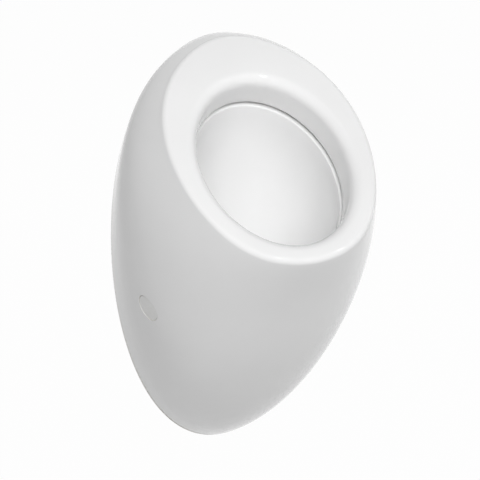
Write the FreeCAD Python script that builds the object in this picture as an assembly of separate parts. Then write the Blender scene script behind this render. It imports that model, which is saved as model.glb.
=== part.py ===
import FreeCAD, Part
import math
import os

# Wall hung urinal: a china body on the wall with its hangers, side fixings, flush inlet and concealed trap.
# Millimetres. Origin on the wall face, midway between the two hanger bolt holes.
# +Z is up and the urinal stands out from the wall towards -Y. Left is -X, seen from the front.

V = FreeCAD.Vector

# China body: back outline, which lies on the wall
body_height = 590.0
hanger_drop = 95.0            # from the top of the back outline down to the hanger bolts
back_half_width = 153.0
back_egg = 8.1                # narrows the outline below
back_shoulder = -8.9          # lowers the widest place
back_fullness = 4.3

# China body: sloping rim face
rim_tilt = 54.55              # degrees from the wall
rim_top_out = 37.8            # upper end of the rim, out from the wall
rim_top_rise = 5.2            # and above the back outline
rim_length = 341.8
rim_half_width = 121.5
rim_egg = -3.3
rim_side_fullness = 5.7
rim_end_fullness = 7.7
rim_squareness = 2.1
rim_outer_round = 7.0

# China body: flanks between the two outlines
side_swell = 23.3
under_swell = -53.8
under_skew = 4.5

# China walls
shell_wall = 10.0
back_edge_wall = 20.0         # width of the flat edge on the wall
back_edge_depth = 12.0
rim_thickness = 13.0
bowl_wall = 9.0

# Mouth, in the plane of the rim; ends are measured along the slope from the rim's middle
mouth_half_width = 94.5
mouth_upper_end = 100.0
mouth_lower_end = -142.0
mouth_round = 14.0            # rolls the rim's face into the mouth
lip_half_width = 93.0
lip_upper_end = 100.0
lip_lower_end = -143.0
lip_depth = 44.0
lip_wall = 7.0

# Flush channel behind the lip, and the bowl below its slot
slot_height = 9.0
channel_half_width = 115.0
channel_upper_end = 132.0
channel_lower_end = -159.0
channel_drop = 5.0            # channel floor below the bowl's upper edge
channel_floor = 9.0
bowl_depth = 180.0
bowl_lean = 20.0              # degrees by which the bowl's deep end lies back from plumb

# Sump and outlet horn
sump_radius = 24.0
sump_depth = 54.0
sump_bottom = 9.0
horn_radius = 25.0
horn_bore = 17.0
horn_length = 26.0
horn_rise = 17.5              # horn's axis above the sump's floor

# Hanger ledges in the back of the china, and their hooks
hanger_spacing = 130.0
hanger_hole_radius = 5.5
ledge_under = 18.0            # underside of the ledge above the bolts
ledge_height = 18.0
ledge_out = 8.0               # from the wall
ledge_depth = 15.0
ledge_inner_x = 36.0
hook_width = 36.0
hook_plate = 3.0
hook_plate_below = 28.0
hook_tip_height = 12.0
hook_bend = 1.5
hanger_pad = 2.0
hook_gap = 2.0                # play between the ledge and the hook's tip

# Side fixings
side_hole_height = -215.7     # where the cap's middle lies on the flank
side_hole_out = 127.9
cap_radius = 17.5
cap_gap = 0.6                 # groove round the cap
cap_thickness = 3.0
cap_seat = 0.3                # air between the cap and its seat
cap_leg_wall = 1.4
cap_leg_length = 4.5
cap_leg_slot = 9.0
cap_leg_root = 0.5            # the legs start this deep in the disc
side_well_radius = 14.0       # room for the screw's head under the cap
side_well_depth = 12.0
side_china_radius = 23.0      # thickened china round the hole
side_china_depth = 21.0
sleeve_radius = 9.0
sleeve_wall = 1.8
sleeve_flange = 1.5
sleeve_flange_radius = 13.0
sleeve_fit = 0.2
screw_radius = 4.0
screw_head_radius = 6.5
screw_head_height = 4.0
screw_length = 50.0
screw_fit = 0.05
screw_socket_flats = 5.0
screw_socket_depth = 2.6
side_washer_radius = 11.0
side_washer_thickness = 1.6
side_washer_fit = 0.4
side_plate = 4.0
side_plate_width = 44.0
side_plate_height = 64.0
side_arm_height = 30.0
side_boss_radius = 9.0
side_boss_length = 14.0
side_boss_in = 40.0           # from the flank's face in to the boss
side_plate_hole_radius = 4.5
side_plate_hole_drop = 22.0

# Flush inlet
inlet_height = 45.0
inlet_boss_radius = 26.0
inlet_boss_back = 24.0        # back face of the boss, out from the wall
inlet_seat_out = 38.0
inlet_seat_radius = 17.5
inlet_back_radius = 22.0      # flat for the washer
inlet_hole_radius = 14.0
tail_radius = 13.0
tail_bore = 10.0
tail_end_out = 4.0
spreader_flange_radius = 16.5
spreader_flange = 3.0
spreader_head_radius = 11.0
spreader_head_length = 17.0
spreader_head_wall = 2.0
spreader_slot_height = 5.0
gasket_thickness = 2.0
gasket_fit = 0.2
inlet_washer = 2.0
inlet_washer_radius = 21.0
locknut_flats = 36.0
locknut_thickness = 9.0
thread_fit = 0.05
supply_seal_wall = 1.6
supply_seal_length = 6.0

# Outlet strainer
strainer_radius = 29.0
strainer_thickness = 2.5
strainer_seat_rise = 4.0      # seat above the bowl's lowest point
strainer_seat_gap = 0.5
strainer_skirt_radius = 22.5
strainer_skirt_wall = 1.6
strainer_skirt_depth = 14.0
strainer_hole_radius = 2.4
strainer_ring_radii = (9.0, 17.0)
strainer_ring_counts = (8, 16)
strainer_knob_radius = 4.0
strainer_knob_height = 5.0

# Concealed trap
trap_out = 56.0               # the bottle's axis, out from the wall
trap_radius = 28.0
trap_wall = 3.0
trap_top_above = 34.0         # top of the bottle above the inlet
trap_seal_depth = 98.0        # bottle's lower end below the inlet
trap_outlet_drop = 24.0
trap_duct_radius = 14.0
trap_hub_wall = 3.0
trap_hub_below = 32.0         # hub's lower end below the inlet
dip_radius = 15.0
dip_wall = 2.0
dip_fit = 0.1
dip_length = 80.0
dip_end_gap = 1.0             # from the inlet duct down to the tube
dip_collar_radius = 17.5
dip_collar = 3.0
trap_port_radius = 20.0
cup_radius = 31.5
cup_wall = 3.0
cup_height = 34.0
cup_overlap = 17.0
cup_fit = 0.1
cup_ribs = 12
cup_rib_radius = 1.8
cup_seal = 2.0
socket_wall = 2.6
socket_seal_wall = 2.5
socket_fit = 0.1
inlet_seal_length = 13.0
union_wall = 3.5
union_length = 14.0
union_lip = 2.5
union_ribs = 16
union_rib_radius = 1.0
union_clear = 6.0             # from the sump's wall to the nut
outlet_pipe_radius = 25.0
outlet_socket_end = 3.0       # the socket's mouth, out from the wall
outlet_socket_depth = 22.0
outlet_seal_length = 8.0

# Places that follow from the sizes above
body_top = hanger_drop
body_bottom = hanger_drop - body_height
tilt = math.radians(rim_tilt)
fan_height = body_top + rim_top_rise + rim_top_out / math.tan(tilt)
rim_top_reach = rim_top_out / math.sin(tilt)
rim_bottom_reach = rim_top_reach + rim_length
rim_middle_reach = (rim_top_reach + rim_bottom_reach) / 2.0
slope_up = V(0, math.sin(tilt), math.cos(tilt))
inward = V(0, math.cos(tilt), -math.sin(tilt))
outline_points = 36
stations = 8
over = 2.0                    # how far a cutting solid runs past what it cuts
near = 0.1                    # how close an edge lies to a place it is picked by
seam_fit = 0.0001             # how closely the rounded rim's faces meet


def between(first, last, share):
    return first * (1.0 - share) + last * share


def rim_point(across, up, depth):
    """A point by its place across the rim, up its slope from the middle, and depth behind its face."""
    middle = V(0, -rim_middle_reach * math.sin(tilt), fan_height - rim_middle_reach * math.cos(tilt))
    return middle + V(across, 0, 0) + slope_up * up + inward * depth


def closed_curve(points):
    """A smooth closed curve whose knots are numbered by its points, so that all outlines share them."""
    curve = Part.BSplineCurve()
    knots = [float(step) for step in range(len(points) + 1)]
    curve.interpolate(Points=points, PeriodicFlag=True, Parameters=knots)
    return curve


def turns():
    """The angles of an outline's points, from its lowest point round."""
    return [2.0 * math.pi * step / outline_points - math.pi / 2.0 for step in range(outline_points)]


def section(share, inset):
    """One outline of the body, on a plane turned about a level line above the wall outline.

    share runs from 0 at the wall to 1 at the rim. inset draws the outline in by a wall.
    """
    turn = share * tilt
    top = (fan_height - body_top - rim_top_rise * share) / math.cos(turn)
    bottom = between(fan_height - body_bottom, rim_bottom_reach, share)
    bottom += under_swell * math.sin(math.pi * share) + under_skew * math.sin(2.0 * math.pi * share)
    half_width = between(back_half_width, rim_half_width, share) + side_swell * math.sin(math.pi * share)
    egg = between(back_egg, rim_egg, share)
    shoulder = between(back_shoulder, 0.0, share)
    side_fullness = between(0.0, rim_side_fullness, share)
    end_fullness = between(back_fullness, rim_end_fullness, share)
    squareness = between(0.0, rim_squareness, share)
    middle = (top + bottom) / 2.0
    half_length = (bottom - top) / 2.0 - inset
    points = []
    for angle in turns():
        across = (half_width - inset) * math.cos(angle) + egg * math.sin(2.0 * angle)
        across += side_fullness * math.cos(3.0 * angle) + squareness * math.sin(4.0 * angle)
        reach = middle - half_length * math.sin(angle) - shoulder * (1.0 + math.cos(2.0 * angle))
        reach -= end_fullness * (math.sin(3.0 * angle) + math.sin(angle))
        points.append(V(across, -reach * math.sin(turn), fan_height - reach * math.cos(turn)))
    return closed_curve(points)


def body_form(inset):
    """The solid from the wall to the rim; its side is one spline surface through all the outlines."""
    outlines = [section(step / (stations - 1), inset) for step in range(stations)]
    columns = []
    for poles in zip(*[outline.getPoles() for outline in outlines]):
        column = Part.BSplineCurve()
        column.interpolate(Points=list(poles), Parameters=[float(step) for step in range(stations)])
        columns.append(column)
    skin = Part.BSplineSurface()
    skin.buildFromPolesMultsKnots([column.getPoles() for column in columns],
                                  outlines[0].getMultiplicities(), columns[0].getMultiplicities(),
                                  outlines[0].getKnots(), columns[0].getKnots(), True, False,
                                  outlines[0].Degree, columns[0].Degree)
    side = skin.toShape()
    ends = [Part.Face(Part.Wire([edge])) for edge in side.Edges if edge.Closed]
    shell = Part.makeShell([side] + ends)
    shell.sewShape()
    return Part.Solid(shell)


def rim_oval(half_width, upper_end, lower_end, depth, grow=0.0):
    """An oval parallel to the rim's face, depth behind it."""
    middle = (upper_end + lower_end) / 2.0
    half_length = (upper_end - lower_end) / 2.0 + grow
    ellipse = Part.Ellipse(rim_point(0, middle + half_length, depth),
                           rim_point(half_width + grow, middle, depth), rim_point(0, middle, depth))
    return Part.Wire([ellipse.toShape()])


def rim_prism(half_width, upper_end, lower_end, start, end, grow=0.0):
    oval = rim_oval(half_width, upper_end, lower_end, start, grow)
    return Part.Face(oval).extrude(inward * (end - start))


def mouth_hole(grow=0.0, end=lip_depth):
    """The opening from the rim's face to the lip's lower edge, wider at the lip."""
    growth = (lip_half_width - mouth_half_width) / lip_depth
    upper = (lip_upper_end - mouth_upper_end) / lip_depth
    lower = (lip_lower_end - mouth_lower_end) / lip_depth
    ovals = []
    for depth in (-over, end):
        ovals.append(rim_oval(mouth_half_width + growth * depth, mouth_upper_end + upper * depth,
                              mouth_lower_end + lower * depth, depth, grow))
    return Part.makeLoft(ovals, True, True)


def mouth_opening():
    """What the mouth takes away from the rim's face to the lip's lower edge, with its rolled edge."""
    grown = mouth_round * 2.0
    block = rim_prism(mouth_half_width, mouth_upper_end, mouth_lower_end, 0.0, lip_depth, grown)
    block = block.cut(mouth_hole())
    edges = []
    for edge in block.Edges:
        on_face = edge.distToShape(rim_oval(mouth_half_width, mouth_upper_end, mouth_lower_end, 0.0))[0] < near
        if edge.Closed and on_face:
            edges.append(edge)
    rolled = block.makeFillet(mouth_round, edges)
    whole = rim_prism(mouth_half_width, mouth_upper_end, mouth_lower_end, -over, lip_depth, grown - over)
    return whole.cut(rolled)


def bowl_axes():
    """The bowl's upper edge middle, and its three half axes."""
    edge_depth = lip_depth + slot_height
    middle = rim_point(0, (lip_upper_end + lip_lower_end) / 2.0, edge_depth)
    lean = math.radians(bowl_lean)
    deep = V(0, math.sin(lean), -math.cos(lean))
    return middle, lip_half_width, (lip_upper_end - lip_lower_end) / 2.0, deep


def bowl_form(grow):
    """The lower half of an ellipsoid that leans back, grown by a wall."""
    middle, half_width, half_length, deep = bowl_axes()
    across = V(half_width + grow, 0, 0)
    along = slope_up * (half_length + grow)
    down = deep * (bowl_depth + grow)
    matrix = FreeCAD.Matrix(across.x, along.x, -down.x, middle.x,
                            across.y, along.y, -down.y, middle.y,
                            across.z, along.z, -down.z, middle.z,
                            0, 0, 0, 1)
    ball = Part.makeSphere(1.0, V(0, 0, 0), V(0, 0, 1), -90, 0, 360)
    return ball.transformGeometry(matrix)


def drain_point():
    """The lowest point of the bowl's inner face."""
    middle, half_width, half_length, deep = bowl_axes()
    along = slope_up * -half_length
    down = deep * bowl_depth
    drop = math.hypot(along.z, down.z)
    return middle + along * (-along.z / drop) + down * (-down.z / drop)


def turned(profile, base, axis):
    """A ring or disc from (radius, height) corners, turned about an axis through base."""
    points = [V(radius, 0, height) for radius, height in profile]
    solid = Part.Face(Part.makePolygon(points + [points[0]])).revolve(V(0, 0, 0), V(0, 0, 1), 360)
    solid.Placement = FreeCAD.Placement(base, FreeCAD.Rotation(V(0, 0, 1), axis))
    return solid


def tube(inner, outer, start, end, base, axis):
    return turned([(inner, start), (outer, start), (outer, end), (inner, end)], base, axis)


def rod(radius, start, end, base, axis):
    return Part.makeCylinder(radius, end - start, base + axis * start, axis)


def box(x_range, y_range, z_range):
    low = V(x_range[0], y_range[0], z_range[0])
    return Part.makeBox(x_range[1] - x_range[0], y_range[1] - y_range[0], z_range[1] - z_range[0], low)


def mirrored(shape):
    return shape.mirror(V(0, 0, 0), V(1, 0, 0))


def fused(shapes):
    whole = shapes[0].fuse(shapes[1:])
    return whole.removeSplitter()


back = V(0, 1, 0)
up = V(0, 0, 1)


def sump_floor():
    return drain_point().z - sump_depth


def horn_height():
    return sump_floor() + horn_rise


def horn_root():
    """How far out from the wall the horn leaves the sump."""
    return drain_point().y + sump_radius + bowl_wall


def flank_place(outer):
    """The middle of the left side cap on the flank, and the flank's outward direction there."""
    ray = Part.makeLine(V(-body_height, -side_hole_out, side_hole_height), V(0, -side_hole_out, side_hole_height))
    point = min((vertex.Point for vertex in outer.common(ray).Vertexes), key=lambda place: place.x)
    face = min(outer.Faces, key=lambda side: side.distToShape(Part.Vertex(point))[0])
    u_value, v_value = face.Surface.parameter(point)
    normal = face.normalAt(u_value, v_value)
    if normal.x > 0:
        normal = normal * -1.0
    return point, normal


def china_outside():
    outer = body_form(0)
    rim_edges = [edge for edge in outer.Edges if edge.Closed and edge.BoundBox.YMin < -rim_top_out - over]
    rounded = outer.makeFillet(rim_outer_round, rim_edges)
    rounded.fix(seam_fit, seam_fit, seam_fit)
    return rounded


def china_hollow():
    """The space between the outer shell and the bowl, open at the wall."""
    rim_slab = rim_prism(body_height, body_height, -body_height, -body_height, rim_thickness)
    deep_part = body_form(shell_wall).cut(rim_slab)
    edge_slab = box((-body_height, body_height), (-back_edge_depth, over), (body_bottom, body_top))
    inside_edge = Part.Face(Part.Wire([section(0.0, back_edge_wall).toShape()]))
    opening = inside_edge.extrude(V(0, -back_edge_depth - over, 0))
    through = inside_edge.extrude(V(0, over, 0))
    return deep_part.cut(edge_slab).fuse([opening, through])


def channel_space():
    """The flush channel round the lip, the slot over the bowl's upper edge, and the mouth between."""
    slot_end = lip_depth + slot_height
    whole = rim_prism(channel_half_width, channel_upper_end, channel_lower_end,
                      rim_thickness, slot_end + channel_drop)
    lip = mouth_hole(lip_wall, lip_depth)
    bowl_edge = rim_prism(lip_half_width, lip_upper_end, lip_lower_end,
                          slot_end, slot_end + channel_drop + over, bowl_wall)
    return whole.cut([lip, bowl_edge])


def channel_block():
    end = lip_depth + slot_height + channel_drop + channel_floor
    return rim_prism(channel_half_width, channel_upper_end, channel_lower_end, over, end, bowl_wall)


def side_china(place, outward, outer):
    """Thickened china inside the flank round a side hole."""
    pad = rod(side_china_radius, -over, side_china_depth, place, outward * -1.0)
    return pad.common(outer)


def side_hole(place, outward):
    inner = outward * -1.0
    seat = rod(cap_radius + cap_gap, -over * 2.0, cap_thickness + cap_seat, place, inner)
    well = rod(side_well_radius, 0.0, side_well_depth, place, inner)
    bore = rod(sleeve_radius + sleeve_fit, 0.0, side_china_depth + over, place, inner)
    return seat.fuse([well, bore])


def hanger_ledge():
    right = box((ledge_inner_x, back_half_width), (-ledge_out - ledge_depth, -ledge_out),
                (ledge_under, ledge_under + ledge_height))
    return right


def china_body(outer, place, outward):
    drain = drain_point()
    inlet = V(0, 0, inlet_height)
    horn = V(0, drain.y, horn_height())
    ledge = hanger_ledge().common(outer)
    pad = side_china(place, outward, outer)
    shell = outer.cut(china_hollow())
    blocks = bowl_form(bowl_wall).fuse([channel_block()]).common(outer)
    inlet_boss = rod(inlet_boss_radius, -inlet_seat_out * 2.0, -inlet_boss_back, inlet, back).common(outer)
    sump = rod(sump_radius + bowl_wall, sump_floor() - sump_bottom, drain.z + over, V(0, drain.y, 0), up)
    horn_tube = rod(horn_radius, 0.0, sump_radius + bowl_wall + horn_length, horn, back)
    solid = shell.fuse([blocks, ledge, mirrored(ledge), pad, mirrored(pad), inlet_boss, sump, horn_tube])
    hole = side_hole(place, outward)
    seat = rod(inlet_seat_radius, -inlet_seat_out * 2.0, -inlet_seat_out, inlet, back)
    seat = seat.common(rim_prism(body_height, body_height, -body_height, rim_thickness, body_height))
    seat = seat.cut(mouth_hole(lip_wall, lip_depth + slot_height))
    cuts = [
        channel_space(),
        bowl_form(0.0),
        mouth_opening(),
        rod(sump_radius, sump_floor(), drain.z + strainer_seat_rise + over, V(0, drain.y, 0), up),
        rod(strainer_radius + strainer_seat_gap, drain.z + strainer_seat_rise, drain.z + sump_depth / 2.0,
            V(0, drain.y, 0), up),
        rod(horn_bore, 0.0, sump_radius + bowl_wall + horn_length + over, horn, back),
        rod(inlet_hole_radius, -inlet_seat_out - over, 0.0, inlet, back),
        rod(inlet_back_radius, -inlet_boss_back, 0.0, inlet, back),
        seat,
        hole,
        mirrored(hole),
    ]
    return solid.cut(cuts)


def hanger_bracket(middle_x):
    """A hook on a wall plate: the china's ledge hangs on its arm, behind the upturned tip."""
    sides = (middle_x - hook_width / 2.0, middle_x + hook_width / 2.0)
    arm_top = ledge_under - hanger_pad
    tip_inner = ledge_out + ledge_depth + hook_gap
    reach = tip_inner + hook_plate
    plate = box(sides, (-hook_plate, 0), (-hook_plate_below, arm_top))
    arm = box(sides, (-reach, 0), (arm_top - hook_plate, arm_top))
    tip = box(sides, (-reach, -tip_inner), (arm_top - hook_plate, arm_top + hook_tip_height))
    hook = fused([plate, arm, tip])
    hole = rod(hanger_hole_radius, -hook_plate - over, over, V(middle_x, 0, 0), back)
    outer_bend = [V(middle_x, -reach, arm_top - hook_plate), V(middle_x, 0, arm_top)]
    bend_edges = []
    for edge in hook.Edges:
        along_x = abs(edge.BoundBox.XLength - hook_width) < near
        if along_x and any(edge.distToShape(Part.Vertex(corner))[0] < near for corner in outer_bend):
            bend_edges.append(edge)
    return hook.makeFillet(hook_bend, bend_edges).cut(hole)


def hanger_cushion(middle_x):
    half = hook_width / 2.0
    return box((middle_x - half, middle_x + half), (-ledge_out - ledge_depth, -ledge_out),
               (ledge_under - hanger_pad, ledge_under))


def side_sleeve(place, outward):
    seat = side_well_depth - sleeve_flange
    profile = [(sleeve_radius - sleeve_wall, seat), (sleeve_flange_radius, seat),
               (sleeve_flange_radius, side_well_depth), (sleeve_radius, side_well_depth),
               (sleeve_radius, side_china_depth), (sleeve_radius - sleeve_wall, side_china_depth)]
    return turned(profile, place, outward * -1.0)


def side_washer(place, outward):
    seat = side_well_depth - sleeve_flange
    return tube(screw_radius + side_washer_fit, side_washer_radius, seat - side_washer_thickness, seat,
                place, outward * -1.0)


def side_screw(place, outward):
    """A socket head screw from the flank into the bracket behind."""
    inner = outward * -1.0
    under_head = side_well_depth - sleeve_flange - side_washer_thickness
    head = rod(screw_head_radius, under_head - screw_head_height, under_head, place, inner)
    shank = rod(screw_radius, under_head - over, under_head + screw_length, place, inner)
    corner = screw_socket_flats / math.sqrt(3.0)
    corners = [V(corner * math.cos(step * math.pi / 3.0), corner * math.sin(step * math.pi / 3.0), 0)
               for step in range(6)]
    socket = Part.Face(Part.makePolygon(corners + [corners[0]])).extrude(V(0, 0, screw_socket_depth + over))
    start = place + inner * (under_head - screw_head_height - over)
    socket.Placement = FreeCAD.Placement(start, FreeCAD.Rotation(up, inner))
    return fused([head, shank]).cut(socket)


def side_cap(place, outward, outer):
    """A cover cap whose face follows the flank, with four spring legs into the well."""
    inner = outward * -1.0
    disc = rod(cap_radius, -over * 2.0, cap_thickness, place, inner).common(outer)
    leg_radius = side_well_radius - cap_seat
    legs = tube(leg_radius - cap_leg_wall, leg_radius, cap_thickness - cap_leg_root,
                cap_thickness + cap_leg_length, place, inner)
    reach = side_well_radius + over
    slots = []
    for quarter in range(2):
        slot = Part.makeBox(reach * 2.0, cap_leg_slot, cap_leg_length + over,
                            V(-reach, -cap_leg_slot / 2.0, cap_thickness))
        slot.rotate(V(0, 0, 0), up, 90.0 * quarter)
        slot.Placement = FreeCAD.Placement(place, FreeCAD.Rotation(up, inner)).multiply(slot.Placement)
        slots.append(slot)
    return disc.fuse(legs.cut(slots)).removeSplitter()


def side_bracket(place, outward):
    """A wall plate with an arm that carries the threaded boss for the side screw."""
    inner = outward * -1.0
    boss_start = place + inner * side_boss_in
    boss_end = place + inner * (side_boss_in + side_boss_length)
    boss_middle = (boss_start + boss_end) * 0.5
    plate_z = (boss_middle.z - side_plate_height / 2.0, boss_middle.z + side_plate_height / 2.0)
    plate = box((boss_middle.x - side_plate / 2.0, boss_middle.x - side_plate / 2.0 + side_plate_width),
                (-side_plate, 0), plate_z)
    arm = box((boss_middle.x - side_plate / 2.0, boss_middle.x + side_plate / 2.0),
              (boss_middle.y, 0), (boss_middle.z - side_arm_height / 2.0, boss_middle.z + side_arm_height / 2.0))
    boss = rod(side_boss_radius, side_boss_in, side_boss_in + side_boss_length, place, inner)
    thread = rod(screw_radius + screw_fit, side_boss_in - over, side_boss_in + side_boss_length + over,
                 place, inner)
    hole_x = boss_middle.x + side_plate_width / 2.0
    holes = [rod(side_plate_hole_radius, -side_plate - over, over,
                 V(hole_x, 0, boss_middle.z + side * side_plate_hole_drop), back) for side in (-1, 1)]
    return fused([plate, arm, boss]).cut([thread] + holes)


def flush_spreader():
    """A threaded tail with a flange and a side-slotted head that throws the flush round the channel."""
    inlet = V(0, 0, inlet_height)
    outward = back * -1.0
    flange_start = inlet_seat_out + gasket_thickness
    flange_end = flange_start + spreader_flange
    head_end = flange_end + spreader_head_length
    tail = rod(tail_radius, tail_end_out, flange_end, inlet, outward)
    flange = rod(spreader_flange_radius, flange_start, flange_end, inlet, outward)
    head = rod(spreader_head_radius, flange_end - over, head_end, inlet, outward)
    bore = rod(tail_bore, tail_end_out - over, flange_end, inlet, outward)
    seal_seat = rod(tail_bore + supply_seal_wall, tail_end_out - over, tail_end_out + supply_seal_length,
                    inlet, outward)
    room = rod(spreader_head_radius - spreader_head_wall, flange_end - over, head_end - spreader_head_wall,
               inlet, outward)
    middle = (flange_end + head_end) / 2.0
    slots = box((-spreader_head_radius * 2.0, spreader_head_radius * 2.0),
                (-middle - spreader_slot_height / 2.0, -middle + spreader_slot_height / 2.0),
                (inlet_height - spreader_head_radius / 2.0, inlet_height + spreader_head_radius / 2.0))
    return fused([tail, flange, head]).cut([bore, seal_seat, room, slots])


def hexagon_nut(flats, bore, start, end, base, axis):
    corner = flats / math.sqrt(3.0)
    corners = [V(corner * math.cos(step * math.pi / 3.0), corner * math.sin(step * math.pi / 3.0), start)
               for step in range(6)]
    nut = Part.Face(Part.makePolygon(corners + [corners[0]])).extrude(V(0, 0, end - start))
    nut.Placement = FreeCAD.Placement(base, FreeCAD.Rotation(up, axis))
    return nut.cut(rod(bore, start - over, end + over, base, axis))


def outlet_strainer():
    """A perforated plate on the drain's seat, with a skirt into the sump and a knob to lift it by."""
    drain = drain_point()
    seat = drain.z + strainer_seat_rise
    middle = V(0, drain.y, 0)
    plate = rod(strainer_radius, seat, seat + strainer_thickness, middle, up)
    skirt = tube(strainer_skirt_radius - strainer_skirt_wall, strainer_skirt_radius,
                 seat - strainer_skirt_depth, seat + strainer_thickness / 2.0, middle, up)
    knob = rod(strainer_knob_radius, seat, seat + strainer_thickness + strainer_knob_height, middle, up)
    knob_top = [edge for edge in knob.Edges if edge.BoundBox.ZMin > seat + strainer_thickness + over]
    knob = knob.makeFillet(strainer_knob_radius / 2.0, knob_top)
    holes = []
    for ring, count in zip(strainer_ring_radii, strainer_ring_counts):
        for step in range(count):
            angle = 2.0 * math.pi * step / count
            spot = V(ring * math.cos(angle), drain.y + ring * math.sin(angle), 0)
            holes.append(rod(strainer_hole_radius, seat - over, seat + strainer_thickness + over, spot, up))
    return fused([plate.cut(holes), skirt, knob])


def trap_axis():
    return V(0, -trap_out, horn_height())


def socket_bore():
    return outlet_pipe_radius + socket_seal_wall + socket_fit


def inlet_mouth():
    """Mouth of the trap's inlet socket, out from the bottle's axis."""
    return -horn_root() - trap_out - union_lip - union_clear


def trap_body():
    """A bottle with an inlet socket in front, an inner hub for the dip tube, and an outlet socket behind."""
    axis = trap_axis()
    front = back * -1.0
    bore = socket_bore()
    outer = bore + socket_wall
    outlet = axis - up * trap_outlet_drop
    horn_end = -horn_root() - horn_length - trap_out
    outlet_end = trap_out - outlet_socket_end
    bottle = rod(trap_radius, -trap_seal_depth, trap_top_above, axis, up)
    room = rod(trap_radius - trap_wall, -trap_seal_depth - over, trap_top_above - trap_wall, axis, up)
    walls = fused([
        bottle,
        rod(outer, 0.0, inlet_mouth(), axis, front),
        rod(outer, 0.0, outlet_end, outlet, back),
    ])
    hub_radius = dip_radius + dip_fit + trap_hub_wall
    inside = fused([
        rod(hub_radius, -trap_hub_below, trap_duct_radius + trap_hub_wall, axis, up),
        rod(trap_duct_radius + trap_hub_wall, 0.0, trap_radius, axis, front),
    ])
    hollow = walls.cut([room, rod(trap_port_radius, 0.0, outlet_end, outlet, back)])
    body = hollow.fuse(inside)
    return body.cut([
        rod(bore, horn_end, inlet_mouth() + over, axis, front),
        rod(bore, outlet_end - outlet_socket_depth, outlet_end + over, outlet, back),
        rod(trap_duct_radius, 0.0, horn_end + over, axis, front),
        rod(trap_duct_radius, 0.0, trap_duct_radius, axis, up),
        rod(dip_radius + dip_fit, -trap_hub_below - over, 0.0, axis, up),
    ])


def trap_dip_tube():
    axis = trap_axis()
    top = -trap_duct_radius - dip_end_gap
    pipe = tube(dip_radius - dip_wall, dip_radius, top - dip_length, top, axis, up)
    collar = tube(dip_radius - dip_wall, dip_collar_radius, -trap_hub_below - dip_collar, -trap_hub_below, axis, up)
    return pipe.fuse(collar).removeSplitter()


def cup_shoulder():
    return -trap_seal_depth - cup_seal


def trap_cup():
    """A ribbed cup that screws on over the bottle's lower end."""
    axis = trap_axis()
    floor = cup_shoulder() + cup_overlap - cup_height
    inner = trap_radius - trap_wall
    profile = [(0, floor), (cup_radius, floor), (cup_radius, floor + cup_height),
               (trap_radius + cup_fit, floor + cup_height), (trap_radius + cup_fit, cup_shoulder()),
               (inner, cup_shoulder()), (inner, floor + cup_wall), (0, floor + cup_wall)]
    ribs = []
    for step in range(cup_ribs):
        angle = 2.0 * math.pi * step / cup_ribs
        spot = axis + V(cup_radius * math.cos(angle), cup_radius * math.sin(angle), 0)
        ribs.append(rod(cup_rib_radius, floor + cup_wall, floor + cup_height - cup_wall, spot, up))
    return fused([turned(profile, axis, up)] + ribs)


def trap_inlet_nut():
    """The union nut that squeezes the seal on the horn."""
    axis = trap_axis()
    front = back * -1.0
    bore = socket_bore() + socket_wall + thread_fit
    outside = bore + union_wall
    end = inlet_mouth() + union_lip
    profile = [(bore, end - union_length), (outside, end - union_length), (outside, end),
               (horn_radius + socket_fit * 2.0, end), (horn_radius + socket_fit * 2.0, inlet_mouth()),
               (bore, inlet_mouth())]
    ribs = []
    for step in range(union_ribs):
        angle = 2.0 * math.pi * step / union_ribs
        spot = axis + V(outside * math.cos(angle), 0, outside * math.sin(angle))
        ribs.append(rod(union_rib_radius, end - union_length, end - union_rib_radius, spot, front))
    return fused([turned(profile, axis, front)] + ribs)


def write(name, shape):
    solids = shape.Solids
    if len(solids) == 1:
        shape = solids[0]
    print(name, "solids", len(solids), "valid", shape.isValid(), "volume", round(shape.Volume / 1000.0, 1))
    shape.exportStep("parts/" + name + ".step")


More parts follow.
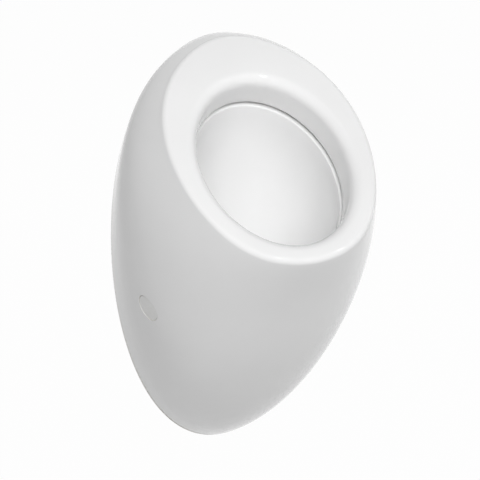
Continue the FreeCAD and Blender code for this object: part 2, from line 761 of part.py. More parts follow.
def main():
    os.makedirs("parts", exist_ok=True)
    outer = china_outside()
    place, outward = flank_place(outer)
    print("side cap", place, outward)
    write("china_body", china_body(outer, place, outward))

    half_spacing = hanger_spacing / 2.0
    for side, sign in (("left", -1.0), ("right", 1.0)):
        write("hanger_bracket_" + side, hanger_bracket(sign * half_spacing))
        write("hanger_pad_" + side, hanger_cushion(sign * half_spacing))

    left_pieces = {
        "side_bracket": side_bracket(place, outward),
        "side_sleeve": side_sleeve(place, outward),
        "side_washer": side_washer(place, outward),
        "side_screw": side_screw(place, outward),
        "side_cap": side_cap(place, outward, outer),
    }
    for name, shape in left_pieces.items():
        write(name + "_left", shape)
        write(name + "_right", mirrored(shape))

    inlet = V(0, 0, inlet_height)
    outward_y = back * -1.0
    washer_start = inlet_boss_back - inlet_washer
    write("flush_spreader", flush_spreader())
    write("spreader_gasket", tube(tail_radius + gasket_fit, spreader_flange_radius, inlet_seat_out,
                                  inlet_seat_out + gasket_thickness, inlet, outward_y))
    write("spreader_washer", tube(tail_radius + gasket_fit, inlet_washer_radius, washer_start, inlet_boss_back,
                                  inlet, outward_y))
    write("spreader_locknut", hexagon_nut(locknut_flats, tail_radius + thread_fit,
                                          washer_start - locknut_thickness, washer_start, inlet, outward_y))
    write("supply_seal", tube(tail_bore, tail_bore + supply_seal_wall, tail_end_out,
                              tail_end_out + supply_seal_length, inlet, outward_y))

    axis = trap_axis()
    outlet = axis - up * trap_outlet_drop
    outlet_end = trap_out - outlet_socket_end
    write("outlet_strainer", outlet_strainer())
    write("trap_inlet_nut", trap_inlet_nut())
    write("trap_inlet_seal", tube(horn_radius + socket_fit, socket_bore() - socket_fit,
                                  inlet_mouth() - inlet_seal_length, inlet_mouth(), axis, outward_y))
    write("trap_body", trap_body())
    write("trap_dip_tube", trap_dip_tube())
    write("trap_cup", trap_cup())
    write("trap_cup_seal", tube(trap_radius - trap_wall + socket_fit, trap_radius - socket_fit,
                                cup_shoulder(), -trap_seal_depth, axis, up))
    write("trap_outlet_seal", tube(outlet_pipe_radius, socket_bore(), outlet_end - outlet_seal_length,
                                   outlet_end, outlet, back))


main()
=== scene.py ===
import bpy
import bmesh
import math
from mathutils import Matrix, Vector


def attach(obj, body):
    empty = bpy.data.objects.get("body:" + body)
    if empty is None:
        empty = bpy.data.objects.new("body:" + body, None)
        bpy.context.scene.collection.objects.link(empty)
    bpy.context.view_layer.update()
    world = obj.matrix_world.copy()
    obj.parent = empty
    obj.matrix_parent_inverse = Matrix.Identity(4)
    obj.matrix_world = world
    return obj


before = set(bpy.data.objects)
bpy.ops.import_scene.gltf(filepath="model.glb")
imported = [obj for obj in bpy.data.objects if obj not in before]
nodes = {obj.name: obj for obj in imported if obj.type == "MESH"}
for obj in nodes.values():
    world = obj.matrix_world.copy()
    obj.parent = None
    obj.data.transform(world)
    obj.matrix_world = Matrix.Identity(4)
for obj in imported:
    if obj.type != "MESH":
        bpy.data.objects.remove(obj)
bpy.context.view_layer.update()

# Wall hung urinal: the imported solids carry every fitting, and two glaze skins cover the china that shows.
# Sizes are in millimetres here and turned to metres as a point is placed.

scene = bpy.context.scene
mm = 0.001

print("frame loaded,", len(nodes), "nodes")


def linear(hexColour):
    # sRGB hex to the linear colour that the shader sockets take
    channels = [int(hexColour[place:place + 2], 16) / 255.0 for place in (1, 3, 5)]
    return [c / 12.92 if c <= 0.04045 else ((c + 0.055) / 1.055) ** 2.4 for c in channels] + [1.0]


def perMetre(size):
    # a pattern's scale from its real size in millimetres
    return 1000.0 / size


def setSockets(tree, node, values=None, links=None):
    for socket, value in (values or {}).items():
        node.inputs[socket].default_value = value
    for socket, source in (links or {}).items():
        tree.links.new(source, node.inputs[socket])


def addNode(tree, kind, values=None, links=None, stops=(), **settings):
    # stops are a colour ramp's two places and colours
    node = tree.nodes.new(kind)
    for name, value in settings.items():
        setattr(node, name, value)
    for index, (position, hexColour) in enumerate(stops):
        node.color_ramp.elements[index].position = position
        node.color_ramp.elements[index].color = linear(hexColour)
    setSockets(tree, node, values, links)
    return node


def newMaterial(name):
    material = bpy.data.materials.new(name)
    material.use_nodes = True
    tree = material.node_tree
    place = addNode(tree, "ShaderNodeTexCoord").outputs["Object"]
    return material, tree, tree.nodes["Principled BSDF"], place


def glazedChina():
    # vitreous china under a fired glaze: near white and mirror-like, with the slow swell of a run glaze
    look = {"white": "#F7F7F7", "shade": "#F3F3F3", "cloud": 140.0, "roughness": 0.06, "ior": 1.52,
            "swell": 38.0, "swellHeight": 0.05, "peel": 5.0, "peelHeight": 0.004}
    material, tree, shader, place = newMaterial("glazed_vitreous_china")
    cloud = addNode(tree, "ShaderNodeTexNoise", {"Scale": perMetre(look["cloud"]), "Detail": 2.0},
                    {"Vector": place})
    colour = addNode(tree, "ShaderNodeValToRGB", links={"Fac": cloud.outputs["Fac"]},
                     stops=[(0.3, look["shade"]), (0.7, look["white"])])
    swell = addNode(tree, "ShaderNodeTexNoise", {"Scale": perMetre(look["swell"]), "Detail": 1.0},
                    {"Vector": place})
    peel = addNode(tree, "ShaderNodeTexNoise", {"Scale": perMetre(look["peel"]), "Detail": 1.0},
                   {"Vector": place})
    low = addNode(tree, "ShaderNodeBump", {"Strength": 1.0, "Distance": look["swellHeight"] * mm},
                  {"Height": swell.outputs["Fac"]})
    high = addNode(tree, "ShaderNodeBump", {"Strength": 1.0, "Distance": look["peelHeight"] * mm},
                   {"Height": peel.outputs["Fac"], "Normal": low.outputs["Normal"]})
    setSockets(tree, shader, {"Roughness": look["roughness"], "IOR": look["ior"]},
               {"Base Color": colour.outputs["Color"], "Normal": high.outputs["Normal"]})
    return material


def bisqueChina():
    # the same china where no glaze runs, at the wall edge and inside the back: chalky, with a fine tooth
    look = {"pale": "#EDEAE3", "dark": "#DDD8CD", "cloud": 60.0, "roughness": 0.75,
            "grain": 0.9, "grainHeight": 0.05}
    material, tree, shader, place = newMaterial("unglazed_china_biscuit")
    cloud = addNode(tree, "ShaderNodeTexNoise", {"Scale": perMetre(look["cloud"]), "Detail": 5.0},
                    {"Vector": place})
    colour = addNode(tree, "ShaderNodeValToRGB", links={"Fac": cloud.outputs["Fac"]},
                     stops=[(0.3, look["dark"]), (0.65, look["pale"])])
    grain = addNode(tree, "ShaderNodeTexNoise", {"Scale": perMetre(look["grain"]), "Detail": 2.0},
                    {"Vector": place})
    bump = addNode(tree, "ShaderNodeBump", {"Strength": 0.6, "Distance": look["grainHeight"] * mm},
                   {"Height": grain.outputs["Fac"]})
    setSockets(tree, shader, {"Roughness": look["roughness"]},
               {"Base Color": colour.outputs["Color"], "Normal": bump.outputs["Normal"]})
    return material


def zincPlatedSteel():
    # pressed steel with bright zinc plating: cool satin metal with a faint spangle
    look = {"pale": "#C6CBD0", "dark": "#A3A9AF", "spangle": 7.0, "tooth": 0.6, "toothHeight": 0.02,
            "smoothest": 0.28, "roughest": 0.45}
    material, tree, shader, place = newMaterial("zinc_plated_pressed_steel")
    spangle = addNode(tree, "ShaderNodeTexVoronoi", {"Scale": perMetre(look["spangle"])}, {"Vector": place})
    colour = addNode(tree, "ShaderNodeValToRGB", links={"Fac": spangle.outputs["Distance"]},
                     stops=[(0.1, look["pale"]), (0.8, look["dark"])])
    tooth = addNode(tree, "ShaderNodeTexNoise", {"Scale": perMetre(look["tooth"]), "Detail": 2.0},
                    {"Vector": place})
    rough = addNode(tree, "ShaderNodeMapRange", {"To Min": look["smoothest"], "To Max": look["roughest"]},
                    {"Value": tooth.outputs["Fac"]})
    bump = addNode(tree, "ShaderNodeBump", {"Strength": 0.3, "Distance": look["toothHeight"] * mm},
                   {"Height": tooth.outputs["Fac"]})
    setSockets(tree, shader, {"Metallic": 1.0},
               {"Base Color": colour.outputs["Color"], "Roughness": rough.outputs["Result"],
                "Normal": bump.outputs["Normal"]})
    return material


def stainlessSteel():
    # stainless steel, fine brushed in one direction: grey metal with stretched hairlines
    look = {"pale": "#C9C7C3", "dark": "#A7A5A1", "hairLength": 18.0, "hairWidth": 0.35, "hairHeight": 0.01,
            "smoothest": 0.2, "roughest": 0.38}
    material, tree, shader, place = newMaterial("brushed_stainless_steel")
    hairScale = [perMetre(look["hairLength"]), perMetre(look["hairWidth"]), perMetre(look["hairWidth"])]
    stretch = addNode(tree, "ShaderNodeMapping", {"Scale": hairScale}, {"Vector": place})
    hair = addNode(tree, "ShaderNodeTexNoise", {"Scale": 1.0, "Detail": 3.0},
                   {"Vector": stretch.outputs["Vector"]})
    colour = addNode(tree, "ShaderNodeValToRGB", links={"Fac": hair.outputs["Fac"]},
                     stops=[(0.35, look["dark"]), (0.65, look["pale"])])
    rough = addNode(tree, "ShaderNodeMapRange", {"To Min": look["smoothest"], "To Max": look["roughest"]},
                    {"Value": hair.outputs["Fac"]})
    bump = addNode(tree, "ShaderNodeBump", {"Strength": 0.35, "Distance": look["hairHeight"] * mm},
                   {"Height": hair.outputs["Fac"]})
    setSockets(tree, shader, {"Metallic": 1.0},
               {"Base Color": colour.outputs["Color"], "Roughness": rough.outputs["Result"],
                "Normal": bump.outputs["Normal"]})
    return material


def chromedBrass():
    # brass with polished chrome plate: a dark-and-bright mirror, with faint polishing haze
    look = {"silver": "#DCDDDF", "haze": 24.0, "smoothest": 0.04, "roughest": 0.12}
    material, tree, shader, place = newMaterial("chrome_plated_brass")
    haze = addNode(tree, "ShaderNodeTexNoise", {"Scale": perMetre(look["haze"]), "Detail": 4.0},
                   {"Vector": place})
    rough = addNode(tree, "ShaderNodeMapRange", {"To Min": look["smoothest"], "To Max": look["roughest"]},
                    {"Value": haze.outputs["Fac"]})
    setSockets(tree, shader, {"Base Color": linear(look["silver"]), "Metallic": 1.0},
               {"Roughness": rough.outputs["Result"]})
    return material


def turnedBrass():
    # bare machined brass: warm metal, turning rings round the inlet's axis and a dull tarnish
    look = {"pale": "#D9B872", "dark": "#A98543", "tarnish": 9.0, "roughness": 0.32,
            "ring": 6.91, "ringHeight": 0.03, "inletHeight": 45.0}
    material, tree, shader, place = newMaterial("machined_brass")
    centred = addNode(tree, "ShaderNodeMapping", {"Location": (0.0, 0.0, -look["inletHeight"] * mm)},
                      {"Vector": place})
    tarnish = addNode(tree, "ShaderNodeTexNoise", {"Scale": perMetre(look["tarnish"]), "Detail": 4.0},
                      {"Vector": place})
    colour = addNode(tree, "ShaderNodeValToRGB", links={"Fac": tarnish.outputs["Fac"]},
                     stops=[(0.3, look["dark"]), (0.7, look["pale"])])
    # the wave texture's own rings are a twentieth of a full turn apart
    rings = addNode(tree, "ShaderNodeTexWave",
                    {"Scale": perMetre(look["ring"]) * math.tau / 20.0, "Distortion": 0.5},
                    {"Vector": centred.outputs["Vector"]}, wave_type="RINGS", rings_direction="Y")
    bump = addNode(tree, "ShaderNodeBump", {"Strength": 0.25, "Distance": look["ringHeight"] * mm},
                   {"Height": rings.outputs["Fac"]})
    setSockets(tree, shader, {"Metallic": 1.0, "Roughness": look["roughness"]},
               {"Base Color": colour.outputs["Color"], "Normal": bump.outputs["Normal"]})
    return material


def mouldedPlastic(name, look):
    # a moulded plastic or rubber: slow flow marks in its colour, and a fine grain in its skin
    material, tree, shader, place = newMaterial(name)
    flow = addNode(tree, "ShaderNodeTexNoise",
                   {"Scale": perMetre(look["flow"]), "Detail": 3.0, "Distortion": 1.5}, {"Vector": place})
    colour = addNode(tree, "ShaderNodeValToRGB", links={"Fac": flow.outputs["Fac"]},
                     stops=[(0.35, look["dark"]), (0.65, look["pale"])])
    grain = addNode(tree, "ShaderNodeTexNoise", {"Scale": perMetre(look["grain"]), "Detail": 2.0},
                    {"Vector": place})
    bump = addNode(tree, "ShaderNodeBump", {"Strength": 0.5, "Distance": look["grainHeight"] * mm},
                   {"Height": grain.outputs["Fac"]})
    setSockets(tree, shader, {"Roughness": look["roughness"], "IOR": look["ior"]},
               {"Base Color": colour.outputs["Color"], "Normal": bump.outputs["Normal"]})
    return material


glaze = glazedChina()
biscuit = bisqueChina()
zinc = zincPlatedSteel()
stainless = stainlessSteel()
chrome = chromedBrass()
brass = turnedBrass()
# polished ABS, matched to the china it sits in: the smoothest of the plastics
capPlastic = mouldedPlastic("gloss_moulded_abs", {
    "pale": "#F2F2F1", "dark": "#EDEDEB", "flow": 30.0, "grain": 6.0, "grainHeight": 0.004,
    "roughness": 0.12, "ior": 1.53})
# polypropylene straight from the mould: milky, satin, with slow flow marks
trapPlastic = mouldedPlastic("moulded_polypropylene", {
    "pale": "#EEEEEB", "dark": "#E2E2DD", "flow": 45.0, "grain": 1.2, "grainHeight": 0.02,
    "roughness": 0.38, "ior": 1.49})
# nylon bushes and washers: creamier than the polypropylene and a little duller
nylon = mouldedPlastic("moulded_nylon", {
    "pale": "#F0ECE0", "dark": "#E4DFD0", "flow": 20.0, "grain": 0.8, "grainHeight": 0.015,
    "roughness": 0.42, "ior": 1.53})
# EPDM seals and pads: near black and matt, with the bloom that rubber gets
rubber = mouldedPlastic("moulded_epdm_rubber", {
    "pale": "#2B2B2C", "dark": "#171718", "flow": 12.0, "grain": 0.7, "grainHeight": 0.03,
    "roughness": 0.62, "ior": 1.5})

finishes = {
    "china_body": biscuit,
    "hanger_bracket_left": zinc, "hanger_bracket_right": zinc,
    "hanger_pad_left": rubber, "hanger_pad_right": rubber,
    "side_bracket_left": zinc, "side_bracket_right": zinc,
    "side_sleeve_left": nylon, "side_sleeve_right": nylon,
    "side_washer_left": stainless, "side_washer_right": stainless,
    "side_screw_left": stainless, "side_screw_right": stainless,
    "side_cap_left": capPlastic, "side_cap_right": capPlastic,
    "flush_spreader": chrome, "spreader_gasket": rubber, "spreader_washer": nylon,
    "spreader_locknut": brass, "supply_seal": rubber, "outlet_strainer": stainless,
    "trap_inlet_nut": trapPlastic, "trap_inlet_seal": rubber, "trap_body": trapPlastic,
    "trap_dip_tube": trapPlastic, "trap_cup": trapPlastic, "trap_cup_seal": rubber,
    "trap_outlet_seal": rubber,
}
for name, material in finishes.items():
    nodes[name].data.materials.clear()
    nodes[name].data.materials.append(material)
print("materials on", len(finishes), "nodes")


# the china's own outlines, which the glaze follows
body = {
    "height": 590.0, "hangerDrop": 95.0,
    "backHalfWidth": 153.0, "backEgg": 8.1, "backShoulder": -8.9, "backFullness": 4.3,
    "rimTilt": 54.55, "rimTopOut": 37.8, "rimTopRise": 5.2, "rimLength": 341.8, "rimHalfWidth": 121.5,
    "rimEgg": -3.3, "rimSideFullness": 5.7, "rimEndFullness": 7.7, "rimSquareness": 2.1,
    "sideSwell": 23.3, "underSwell": -53.8, "underSkew": 4.5,
}
mouth = {
    "halfWidth": 94.5, "upperEnd": 100.0, "lowerEnd": -142.0,
    "lipHalfWidth": 93.0, "lipUpperEnd": 100.0, "lipLowerEnd": -143.0, "lipDepth": 44.0, "lipWall": 7.0,
    "slotHeight": 9.0, "bowlDepth": 180.0, "bowlLean": 20.0, "bowlWall": 9.0,
    "sumpRadius": 24.0, "strainerRadius": 29.5, "strainerRise": 4.0,
}
glazing = {
    "thick": 0.5,                        # stands proud of the china
    "rooted": 1.5,                       # the skin's wall, which runs into the china
    "start": 0.012,                      # the skin's edge near the wall, as a share of the way to the rim
    "segments": 176, "skinRings": 52, "bowlRings": 26, "roundSteps": 8,
    "rimRound": 7.5, "mouthRound": 14.5,
    "lipRound": 1.2, "lipInnerSteps": 4, "lipOuterSteps": 3,
    "bowlEdgeRound": 0.8, "bowlOuterSteps": 4, "bowlInnerSteps": 5,
    "rimShares": (0.35, 0.65),           # rings on the flat of the rim
    "mouthDepths": (20.0, 28.0, 36.0),   # rings on the lip's face
    "behindLip": 30.0,                   # how near the rim's face it goes on behind the lip
    "outsideBowl": 6.0,                  # and how far down outside the bowl's edge
    "bowlCrowding": 0.9,                 # below 1 it sets the bowl's rings closer near the drain
    "intoSump": 18.0,                    # how far below the drain it ends
    "sharpAngle": 40.0,                  # edges sharper than this aren't smoothed over
}
capWell = {"place": (-146.990, -127.9, -215.7), "outward": (-0.924023, -0.302525, -0.233795),
           "radius": 18.3, "plugLength": 20.0, "plugSides": 96}
nearShare = 0.02                         # short steps that give a direction at an edge
nearTurn = 0.01
nearDepth = 10.0

tilt = math.radians(body["rimTilt"])
bodyTop = body["hangerDrop"]
bodyBottom = body["hangerDrop"] - body["height"]
fanHeight = bodyTop + body["rimTopRise"] + body["rimTopOut"] / math.tan(tilt)
rimTopReach = body["rimTopOut"] / math.sin(tilt)
rimBottomReach = rimTopReach + body["rimLength"]
rimMiddleReach = (rimTopReach + rimBottomReach) / 2.0
slopeUp = Vector((0, math.sin(tilt), math.cos(tilt)))
inward = Vector((0, math.cos(tilt), -math.sin(tilt)))


def between(first, last, share):
    return first * (1.0 - share) + last * share


def rimPoint(across, up, depth):
    # by its place across the rim, up its slope from the middle, and depth behind its face
    middle = Vector((0, -rimMiddleReach * math.sin(tilt), fanHeight - rimMiddleReach * math.cos(tilt)))
    return (middle + Vector((across, 0, 0)) + slopeUp * up + inward * depth) * mm


def skinPoint(angle, share, grow):
    # one point of the body's outline on a plane turned about a level line above the wall outline
    turn = share * tilt
    swell = math.sin(math.pi * share)
    top = (fanHeight - bodyTop - body["rimTopRise"] * share) / math.cos(turn)
    bottom = between(fanHeight - bodyBottom, rimBottomReach, share)
    bottom += body["underSwell"] * swell + body["underSkew"] * math.sin(2.0 * math.pi * share)
    halfWidth = between(body["backHalfWidth"], body["rimHalfWidth"], share) + body["sideSwell"] * swell
    halfLength = (bottom - top) / 2.0 + grow
    egg = between(body["backEgg"], body["rimEgg"], share)
    across = (halfWidth + grow) * math.cos(angle) + egg * math.sin(2.0 * angle)
    across += between(0.0, body["rimSideFullness"], share) * math.cos(3.0 * angle)
    across += between(0.0, body["rimSquareness"], share) * math.sin(4.0 * angle)
    reach = (top + bottom) / 2.0 - halfLength * math.sin(angle)
    reach -= between(body["backShoulder"], 0.0, share) * (1.0 + math.cos(2.0 * angle))
    endFullness = between(body["backFullness"], body["rimEndFullness"], share)
    reach -= endFullness * (math.sin(3.0 * angle) + math.sin(angle))
    return Vector((across, -reach * math.sin(turn), fanHeight - reach * math.cos(turn))) * mm


def ovalPoint(angle, halfWidth, upper, lower, depth, grow):
    up = (upper + lower) / 2.0 + ((upper - lower) / 2.0 + grow) * math.sin(angle)
    return rimPoint((halfWidth + grow) * math.cos(angle), up, depth)


def mouthPoint(angle, depth, grow=0.0):
    share = depth / mouth["lipDepth"]
    return ovalPoint(angle, between(mouth["halfWidth"], mouth["lipHalfWidth"], share),
                     between(mouth["upperEnd"], mouth["lipUpperEnd"], share),
                     between(mouth["lowerEnd"], mouth["lipLowerEnd"], share), depth, grow)


def lipPoint(angle, depth, grow):
    return ovalPoint(angle, mouth["lipHalfWidth"], mouth["lipUpperEnd"], mouth["lipLowerEnd"], depth, grow)


def swing(start, end, sweep, share):
    # from start to end along the arc between them
    return (start * math.sin((1.0 - share) * sweep) + end * math.sin(share * sweep)) / math.sin(sweep)


def acrossEdge(alongEdge, direction):
    # the part of a direction that leaves the edge square
    edge = alongEdge.normalized()
    return (direction - edge * direction.dot(edge)).normalized()


def roundLength(alongEdge, first, second, radius):
    # how far from the corner a round of that radius begins
    half = acrossEdge(alongEdge, first).angle(acrossEdge(alongEdge, second)) / 2.0
    return radius * mm / math.tan(half)


def cornerArc(corner, alongEdge, first, second, radius, share):
    # a point on the round of that radius between two faces, from the first face to the second
    length = roundLength(alongEdge, first, second, radius)
    first = acrossEdge(alongEdge, first)
    second = acrossEdge(alongEdge, second)
    centre = corner + (first + second).normalized() * radius * mm / math.sin(first.angle(second) / 2.0)
    start = corner + first * length - centre
    end = corner + second * length - centre
    return centre + swing(start, end, start.angle(end), share)


lean = math.radians(mouth["bowlLean"])
deep = Vector((0, math.sin(lean), -math.cos(lean)))
bowlEdgeDepth = mouth["lipDepth"] + mouth["slotHeight"]
bowlMiddle = rimPoint(0, (mouth["lipUpperEnd"] + mouth["lipLowerEnd"]) / 2.0, bowlEdgeDepth)


def bowlAxes(grow):
    # the bowl's three half axes: across, along the slope, and down to its deep end
    halfLength = (mouth["lipUpperEnd"] - mouth["lipLowerEnd"]) / 2.0 + grow
    return (Vector((mouth["lipHalfWidth"] + grow, 0, 0)) * mm, slopeUp * halfLength * mm,
            deep * (mouth["bowlDepth"] + grow) * mm)


# the drain is at the bowl's lowest point
acrossAxis, alongAxis, downAxis = bowlAxes(0.0)
drop = math.hypot(alongAxis.z, downAxis.z)
drainTurn = Vector((0, -alongAxis.z / drop, -downAxis.z / drop))
drain = bowlMiddle + alongAxis * drainTurn.y + downAxis * drainTurn.z


def bowlPoint(angle, share, grow):
    # along the arc from the bowl's upper edge to the drain; share 1 is the edge of the strainer's seat
    axes = bowlAxes(grow)
    start = Vector((math.cos(angle), math.sin(angle), 0))
    whole = start.angle(drainTurn)

    def onArc(part):
        mix = swing(start, drainTurn, whole, part)
        return bowlMiddle + axes[0] * mix.x + axes[1] * mix.y + axes[2] * mix.z

    outside, inside = 0.3, 0.999         # the seat's edge is found between these parts of the arc
    for halving in range(30):
        middle = (outside + inside) / 2.0
        point = onArc(middle)
        if math.hypot(point.x, point.y - drain.y) > (mouth["strainerRadius"] + grow) * mm:
            outside = middle
        else:
            inside = middle
    return onArc(share * outside)


def newPiece(name, shape):
    mesh = bpy.data.meshes.new(name)
    shape.to_mesh(mesh)
    shape.free()
    piece = bpy.data.objects.new(name, mesh)
    scene.collection.objects.link(piece)
    return piece


def growSheet(name, rings, edgeRounds):
    # a ring of the first place, extruded from place to place, with the named rings' edges rounded
    sheet = bmesh.new()
    turnLayer = sheet.verts.layers.float.new("turn")
    first = bmesh.ops.create_circle(sheet, segments=glazing["segments"], radius=1.0)["verts"]
    for vert in first:
        vert[turnLayer] = math.atan2(vert.co.y, vert.co.x)
        vert.co = rings[0][1](vert[turnLayer])
    edges = list(sheet.edges)
    loops = {}
    for label, place in rings[1:]:
        grown = bmesh.ops.extrude_edge_only(sheet, edges=edges)["geom"]
        fresh = {item for item in grown if isinstance(item, bmesh.types.BMVert)}
        for vert in fresh:
            vert.co = place(vert[turnLayer])
        edges = [item for item in grown if isinstance(item, bmesh.types.BMEdge)
                 and all(vert in fresh for vert in item.verts)]
        if label:
            loops[label] = edges
    for label, (width, steps) in edgeRounds.items():
        bmesh.ops.bevel(sheet, geom=loops[label], offset=width * mm, offset_type="OFFSET", segments=steps,
                        profile=0.5, affect="EDGES", material=-1)
    bmesh.ops.recalc_face_normals(sheet, faces=sheet.faces)
    return newPiece(name, sheet)


def rimCorner(angle):
    # the sharp edge between flank and rim, with the directions that leave it
    thick = glazing["thick"]
    lift = inward * -thick * mm
    corner = skinPoint(angle, 1.0, thick) + lift
    alongEdge = skinPoint(angle + nearTurn, 1.0, thick) - skinPoint(angle - nearTurn, 1.0, thick)
    downFlank = skinPoint(angle, 1.0 - nearShare, thick) + lift - corner
    return corner, alongEdge, downFlank, mouthPoint(angle, 0.0) + lift - corner


def mouthCorner(angle):
    # the sharp edge between rim and mouth, with the directions that leave it
    thick = glazing["thick"]
    onFace = mouthPoint(angle, 0.0)
    corner = mouthPoint(angle, 0.0, -thick) + inward * -thick * mm
    alongEdge = mouthPoint(angle + nearTurn, 0.0) - mouthPoint(angle - nearTurn, 0.0)
    return corner, alongEdge, skinPoint(angle, 1.0, 0.0) - onFace, mouthPoint(angle, nearDepth) - onFace


def flankPoint(angle, share):
    # the flank's rings stop where the rim's round begins
    corner, alongEdge, downFlank, overRim = rimCorner(angle)
    roundShare = roundLength(alongEdge, downFlank, overRim, glazing["rimRound"]) * nearShare
    return skinPoint(angle, share * (1.0 - roundShare / downFlank.length), glazing["thick"])


def rimRoundPoint(angle, share):
    return cornerArc(*rimCorner(angle), glazing["rimRound"], share)


def mouthRoundPoint(angle, share):
    return cornerArc(*mouthCorner(angle), glazing["mouthRound"], share)


def outsideGlaze():
    # wall edge, flanks, rim, the roll into the mouth, the lip's face and a little way up behind the lip
    thick = glazing["thick"]
    behind = mouth["lipWall"] + thick
    lipEnd = mouth["lipDepth"] + thick
    roundShares = [step / glazing["roundSteps"] for step in range(glazing["roundSteps"] + 1)]
    rings = [(None, lambda angle: skinPoint(angle, glazing["start"], thick))]
    for step in range(1, glazing["skinRings"]):
        share = between(glazing["start"], 1.0, step / glazing["skinRings"])
        rings.append((None, lambda angle, share=share: flankPoint(angle, share)))
    for share in roundShares:
        rings.append((None, lambda angle, share=share: rimRoundPoint(angle, share)))
    for share in glazing["rimShares"]:
        rings.append((None, lambda angle, share=share:
                      between(rimRoundPoint(angle, 1.0), mouthRoundPoint(angle, 0.0), share)))
    for share in roundShares:
        rings.append((None, lambda angle, share=share: mouthRoundPoint(angle, share)))
    for depth in glazing["mouthDepths"]:
        rings.append((None, lambda angle, depth=depth: mouthPoint(angle, depth, -thick)))
    rings.append(("lipInner", lambda angle: mouthPoint(angle, lipEnd, -thick)))
    rings.append(("lipOuter", lambda angle: mouthPoint(angle, lipEnd, behind)))
    rings.append((None, lambda angle: mouthPoint(angle, glazing["behindLip"], behind)))
    rounds = {"lipInner": (glazing["lipRound"], glazing["lipInnerSteps"]),
              "lipOuter": (glazing["lipRound"], glazing["lipOuterSteps"])}
    return growSheet("china_glaze_outside", rings, rounds)


def drainRing(angle, radius, height):
    # a level ring round the drain, in line with the bowl's own points
    seat = bowlPoint(angle, 1.0, -glazing["thick"]) - drain
    turn = math.atan2(seat.y, seat.x)
    return drain + Vector((radius * math.cos(turn), radius * math.sin(turn), height)) * mm


def bowlGlaze():
    # the bowl's upper edge below the slot, the bowl, and the seat of the strainer
    thick = glazing["thick"]
    edge = bowlEdgeDepth - thick
    wall = mouth["bowlWall"] + thick
    seat = mouth["strainerRise"] - thick
    sump = mouth["sumpRadius"] - thick
    rings = [(None, lambda angle: lipPoint(angle, edge + glazing["outsideBowl"], wall)),
             ("edgeOuter", lambda angle: lipPoint(angle, edge, wall)),
             ("edgeInner", lambda angle: lipPoint(angle, edge, -thick))]
    for step in range(1, glazing["bowlRings"] + 1):
        share = (step / glazing["bowlRings"]) ** glazing["bowlCrowding"]
        rings.append((None, lambda angle, share=share: bowlPoint(angle, share, -thick)))
    rings.append((None, lambda angle: drainRing(angle, mouth["strainerRadius"] - thick, seat)))
    rings.append((None, lambda angle: drainRing(angle, sump, seat)))
    rings.append((None, lambda angle: drainRing(angle, sump, -glazing["intoSump"])))
    rounds = {"edgeOuter": (glazing["bowlEdgeRound"], glazing["bowlOuterSteps"]),
              "edgeInner": (glazing["bowlEdgeRound"], glazing["bowlInnerSteps"])}
    return growSheet("china_glaze_bowl", rings, rounds)


def wellCutter(mirrored):
    # the plug that the cap's well takes out of the flank's glaze
    plug = bmesh.new()
    radius = capWell["radius"] * mm
    bmesh.ops.create_cone(plug, cap_ends=True, segments=capWell["plugSides"], radius1=radius,
                          radius2=radius, depth=capWell["plugLength"] * mm)
    lie = Vector(capWell["outward"]).to_track_quat("Z", "Y").to_matrix()
    bmesh.ops.rotate(plug, verts=plug.verts, cent=(0, 0, 0), matrix=lie)
    bmesh.ops.translate(plug, verts=plug.verts, vec=Vector(capWell["place"]) * mm)
    if mirrored:
        bmesh.ops.scale(plug, verts=plug.verts, vec=(-1, 1, 1))
        bmesh.ops.reverse_faces(plug, faces=plug.faces)
    return newPiece("well_cutter", plug)


def closeSheet(piece, cutters=()):
    # gives the sheet a wall that runs into the china, so that it is closed, and cuts the wells
    wall = piece.modifiers.new("glaze", "SOLIDIFY")
    wall.thickness = glazing["rooted"] * mm
    wall.offset = -1.0
    wall.use_even_offset = False
    for cutter in cutters:
        cut = piece.modifiers.new("well", "BOOLEAN")
        cut.operation = "DIFFERENCE"
        cut.solver = "EXACT"
        cut.object = cutter
    finished = bpy.data.meshes.new_from_object(piece.evaluated_get(bpy.context.evaluated_depsgraph_get()))
    piece.modifiers.clear()
    piece.data = finished
    finished.name = piece.name
    for cutter in cutters:
        bpy.data.objects.remove(cutter)
    finished.shade_smooth()
    finished.set_sharp_from_angle(angle=math.radians(glazing["sharpAngle"]))
    finished.materials.clear()
    finished.materials.append(glaze)
    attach(piece, "urinal")


closeSheet(outsideGlaze(), [wellCutter(False), wellCutter(True)])
closeSheet(bowlGlaze())
print("glaze skins made")


def seenDirectly(tree):
    # 1 for what the camera, a mirror or glass sees, and 0 for what only lights the object
    rays = addNode(tree, "ShaderNodeLightPath").outputs
    seen = addNode(tree, "ShaderNodeMath", links={0: rays["Is Camera Ray"], 1: rays["Is Glossy Ray"]},
                   operation="MAXIMUM")
    seen = addNode(tree, "ShaderNodeMath", links={0: seen.outputs[0], 1: rays["Is Transmission Ray"]},
                   operation="MAXIMUM")
    return seen.outputs[0]


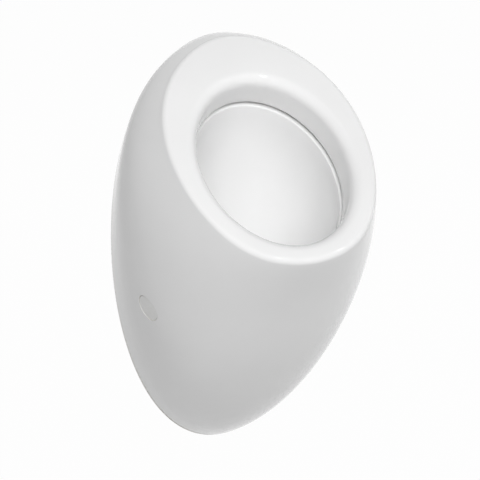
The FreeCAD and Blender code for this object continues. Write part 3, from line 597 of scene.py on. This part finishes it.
def studioFloor():
    # pale seamless floor, drawn nearly white to the camera and to mirrors, that still takes a soft shadow
    room = {"floorHeight": -800.0, "size": 30000.0, "pale": "#B4B4B4", "roughness": 0.9, "white": 0.98}
    plane = bmesh.new()
    bmesh.ops.create_grid(plane, x_segments=1, y_segments=1, size=room["size"] * mm / 2.0)
    bmesh.ops.translate(plane, verts=plane.verts, vec=(0, 0, room["floorHeight"] * mm))
    floor = newPiece("floor", plane)
    material, tree, shader = newMaterial("painted_studio_floor")[:3]
    setSockets(tree, shader, {"Base Color": linear(room["pale"]), "Roughness": room["roughness"]})
    share = addNode(tree, "ShaderNodeMath", {1: room["white"]}, {0: seenDirectly(tree)},
                    operation="MULTIPLY")
    glow = addNode(tree, "ShaderNodeEmission", {"Color": (1, 1, 1, 1), "Strength": 1.0})
    mix = addNode(tree, "ShaderNodeMixShader",
                  links={0: share.outputs[0], 1: shader.outputs[0], 2: glow.outputs[0]})
    setSockets(tree, tree.nodes["Material Output"], links={"Surface": mix.outputs[0]})
    floor.data.materials.append(material)


def studioWorld():
    # even grey-white surroundings for the object, plain white to the camera and to mirrors
    room = {"fill": 0.16, "white": 1.0}
    world = bpy.data.worlds.new("studio")
    world.use_nodes = True
    scene.world = world
    tree = world.node_tree
    tree.nodes.clear()
    dim = addNode(tree, "ShaderNodeBackground", {"Color": (1, 1, 1, 1), "Strength": room["fill"]})
    white = addNode(tree, "ShaderNodeBackground", {"Color": (1, 1, 1, 1), "Strength": room["white"]})
    mix = addNode(tree, "ShaderNodeMixShader",
                  links={0: seenDirectly(tree), 1: dim.outputs[0], 2: white.outputs[0]})
    addNode(tree, "ShaderNodeOutputWorld", links={"Surface": mix.outputs[0]})


def addLamp(name, lamp):
    light = bpy.data.lights.new(name, "AREA")
    light.shape = "RECTANGLE"
    light.size, light.size_y = lamp["size"]
    light.energy = lamp["watts"]
    holder = bpy.data.objects.new(name, light)
    scene.collection.objects.link(holder)
    holder.location = lamp["place"]
    holder.rotation_mode = "QUATERNION"
    holder.rotation_quaternion = (lampAim - Vector(lamp["place"])).to_track_quat("-Z", "Y")
    holder.visible_glossy = lamp["mirrored"]


def photoCamera():
    # worked out from the object's outline in a 480 by 480 picture
    view = {"azimuth": -22.0, "elevation": 24.0, "distance": 2.2, "target": (0.0, -0.12, -0.2),
            "focal": 1692.1, "middle": (252.71, 276.94), "picture": 480.0, "sensor": 36.0,
            "farthest": 100.0}
    camera = bpy.data.cameras.new("camera")
    camera.sensor_width = view["sensor"]
    camera.lens = view["focal"] * view["sensor"] / view["picture"]
    camera.shift_x = (view["picture"] / 2.0 - view["middle"][0]) / view["picture"]
    camera.shift_y = (view["middle"][1] - view["picture"] / 2.0) / view["picture"]
    camera.clip_end = view["farthest"]
    azimuth, elevation = math.radians(view["azimuth"]), math.radians(view["elevation"])
    towards = Vector((math.sin(azimuth) * math.cos(elevation), -math.cos(azimuth) * math.cos(elevation),
                      math.sin(elevation)))
    holder = bpy.data.objects.new("camera", camera)
    scene.collection.objects.link(holder)
    holder.location = Vector(view["target"]) + towards * view["distance"]
    holder.rotation_mode = "QUATERNION"
    holder.rotation_quaternion = (-towards).to_track_quat("-Z", "Y")
    scene.camera = holder


studioFloor()
studioWorld()
# lamps and camera are placed in metres; the broad lamps are diffusers that the glaze doesn't mirror,
# and the two windows leave the small glints
lampAim = Vector((0.0, -0.15, -0.15))
lamps = {
    "aboveCamera": {"size": (1.3, 1.3), "watts": 55.0, "place": (-0.5, -3.4, 1.8), "mirrored": False},
    "highLeft": {"size": (1.3, 1.3), "watts": 39.0, "place": (-1.4, -2.9, 2.7), "mirrored": False},
    "frontLeft": {"size": (1.0, 1.0), "watts": 8.5, "place": (-1.3, -2.0, 1.0), "mirrored": False},
    "right": {"size": (1.0, 1.4), "watts": 8.0, "place": (2.1, -0.7, 0.2), "mirrored": False},
    "behind": {"size": (1.2, 1.2), "watts": 14.0, "place": (0.7, 2.0, 0.9), "mirrored": False},
    "windowFront": {"size": (0.16, 0.3), "watts": 3.0, "place": (0.31, -1.97, 1.64), "mirrored": True},
    "windowRight": {"size": (0.16, 0.3), "watts": 2.0, "place": (1.38, -1.58, 1.54), "mirrored": True},
}
for name, lamp in lamps.items():
    addLamp(name, lamp)
photoCamera()
scene.view_settings.view_transform = "Standard"
print("stage set")
